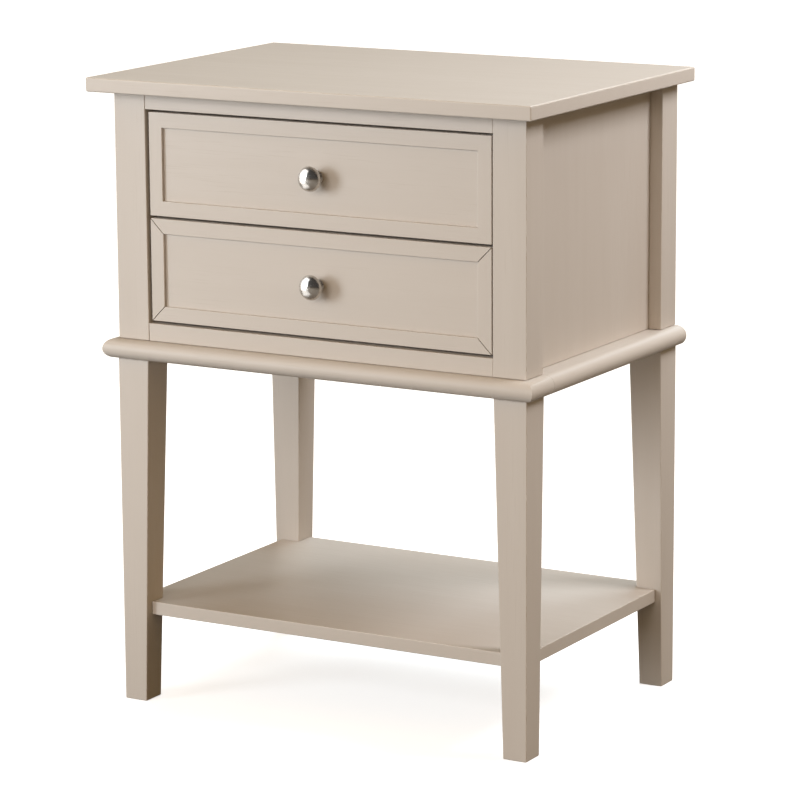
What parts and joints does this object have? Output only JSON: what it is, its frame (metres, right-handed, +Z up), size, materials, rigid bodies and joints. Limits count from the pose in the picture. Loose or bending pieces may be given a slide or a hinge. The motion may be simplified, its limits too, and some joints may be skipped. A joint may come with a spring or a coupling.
{
  "type": "nightstand",
  "caption": "Painted wooden nightstand: inset drawers with mitred frames and round knobs, over an open shelf between tapered legs.",
  "frame": {"origin": "on the floor, under the middle of the top board, which is the widest and deepest piece", "axes": "+Z up, -Y out of the drawer fronts, +X to the right of someone facing the drawers"},
  "size_m": [0.554, 0.393, 0.713],
  "materials": {
    "painted_wood": "satin warm grey-beige paint over wood, with faint grain",
    "bare_wood": "clear-sealed light hardwood and plywood, matt",
    "back_board": "thin painted fibre board, matt",
    "knob_metal": "satin nickel",
    "slide_steel": "zinc-plated sheet steel",
    "fastener_steel": "zinc-plated steel"
  },
  "bodies": {
    "case": {"back_panel": "back_board", "base_front_board": "painted_wood", "base_rear_board": "painted_wood", "base_side_board_left": "painted_wood", "base_side_board_right": "painted_wood", "bottom_front_rail": "painted_wood", "dust_board": "bare_wood", "leg_bolt_front_left": "fastener_steel", "leg_bolt_front_right": "fastener_steel", "leg_bolt_rear_left": "fastener_steel", "leg_bolt_rear_right": "fastener_steel", "leg_front_left": "painted_wood", "leg_front_right": "painted_wood", "leg_rear_left": "painted_wood", "leg_rear_right": "painted_wood", "lower_case_slide_left": "slide_steel", "lower_case_slide_right": "slide_steel", "post_front_left": "painted_wood", "post_front_right": "painted_wood", "post_rear_left": "painted_wood", "post_rear_right": "painted_wood", "shelf": "painted_wood", "side_panel_left": "painted_wood", "side_panel_right": "painted_wood", "top_board": "painted_wood", "top_front_rail": "painted_wood", "top_rear_rail": "bare_wood", "upper_case_slide_left": "slide_steel", "upper_case_slide_right": "slide_steel"},
    "upper_drawer": {"upper_box_back": "bare_wood", "upper_box_bottom": "bare_wood", "upper_box_side_left": "bare_wood", "upper_box_side_right": "bare_wood", "upper_drawer_slide_left": "slide_steel", "upper_drawer_slide_right": "slide_steel", "upper_frame_bottom": "painted_wood", "upper_frame_left": "painted_wood", "upper_frame_right": "painted_wood", "upper_frame_top": "painted_wood", "upper_front_board": "painted_wood", "upper_knob": "knob_metal", "upper_knob_screw": "fastener_steel"},
    "lower_drawer": {"lower_box_back": "bare_wood", "lower_box_bottom": "bare_wood", "lower_box_side_left": "bare_wood", "lower_box_side_right": "bare_wood", "lower_drawer_slide_left": "slide_steel", "lower_drawer_slide_right": "slide_steel", "lower_frame_bottom": "painted_wood", "lower_frame_left": "painted_wood", "lower_frame_right": "painted_wood", "lower_frame_top": "painted_wood", "lower_front_board": "painted_wood", "lower_knob": "knob_metal", "lower_knob_screw": "fastener_steel"},
    "upper_ball_cages": {"upper_ball_cage_left": "slide_steel", "upper_ball_cage_right": "slide_steel"},
    "lower_ball_cages": {"lower_ball_cage_left": "slide_steel", "lower_ball_cage_right": "slide_steel"}
  },
  "joints": [
    {"name": "upper_drawer_slide", "type": "slide", "parent": "case", "child": "upper_drawer", "axis": [0, -1, 0], "range_m": [0, 0.225]},
    {"name": "lower_drawer_slide", "type": "slide", "parent": "case", "child": "lower_drawer", "axis": [0, -1, 0], "range_m": [0, 0.225]},
    {"name": "upper_ball_cage_roll", "type": "slide", "parent": "case", "child": "upper_ball_cages", "axis": [0, -1, 0], "range_m": [0, 0.1125]},
    {"name": "lower_ball_cage_roll", "type": "slide", "parent": "case", "child": "lower_ball_cages", "axis": [0, -1, 0], "range_m": [0, 0.1125]}
  ],
  "couplings": [
    {"joint": "upper_ball_cage_roll", "follows": "upper_drawer_slide", "ratio": 0.5},
    {"joint": "lower_ball_cage_roll", "follows": "lower_drawer_slide", "ratio": 0.5}
  ]
}
